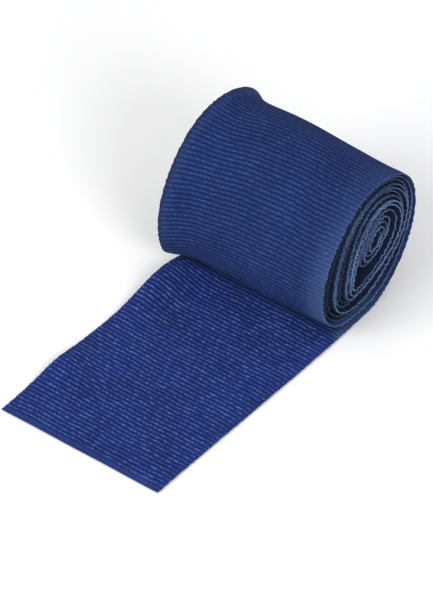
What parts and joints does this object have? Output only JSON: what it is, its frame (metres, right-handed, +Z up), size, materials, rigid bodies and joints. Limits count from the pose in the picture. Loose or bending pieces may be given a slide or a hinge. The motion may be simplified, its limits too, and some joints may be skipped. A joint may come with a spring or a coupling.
{
  "type": "hand wrap",
  "caption": "Ribbed elastic hand wrap wound into a soft leaning roll, with its free tail unrolled flat in front and a hook closure hidden in the core.",
  "frame": {"origin": "middle of the footprint, on the surface that the wrap lies on", "axes": "+X along the roll's axis, which is the band's width; +Y from the tail's free end towards the roll; +Z up"},
  "size_m": [0.052, 0.106, 0.0392],
  "materials": {
    "wound_weave": "matte ribbed elastic knit, deep royal blue",
    "tail_weave": "matte ribbed elastic knit, royal blue, inner face",
    "fused_edge": "flattened and fused cut edge, dark blue",
    "hook_tape": "woven hook tape, navy",
    "sewing_thread": "polyester sewing thread, blue"
  },
  "bodies": {
    "roll": {"wound_band": "wound_weave", "hook_tab": "hook_tape", "tab_stitching": "sewing_thread"},
    "tail_inner": {"tail_inner_band": "tail_weave"},
    "tail_middle": {"tail_middle_band": "tail_weave"},
    "tail_outer": {"tail_outer_band": "tail_weave", "free_end_binding": "fused_edge"}
  },
  "joints": [
    {"name": "tail_inner_fold", "type": "hinge", "parent": "roll", "child": "tail_inner", "pos_m": [0, 0.008, 0.00075], "axis": [-1, 0, 0], "range_deg": [0, 50]},
    {"name": "tail_middle_fold", "type": "hinge", "parent": "tail_inner", "child": "tail_middle", "pos_m": [0, -0.012, 0.00075], "axis": [-1, 0, 0], "range_deg": [0, 50]},
    {"name": "tail_outer_fold", "type": "hinge", "parent": "tail_middle", "child": "tail_outer", "pos_m": [0, -0.032, 0.00075], "axis": [-1, 0, 0], "range_deg": [0, 50]}
  ]
}
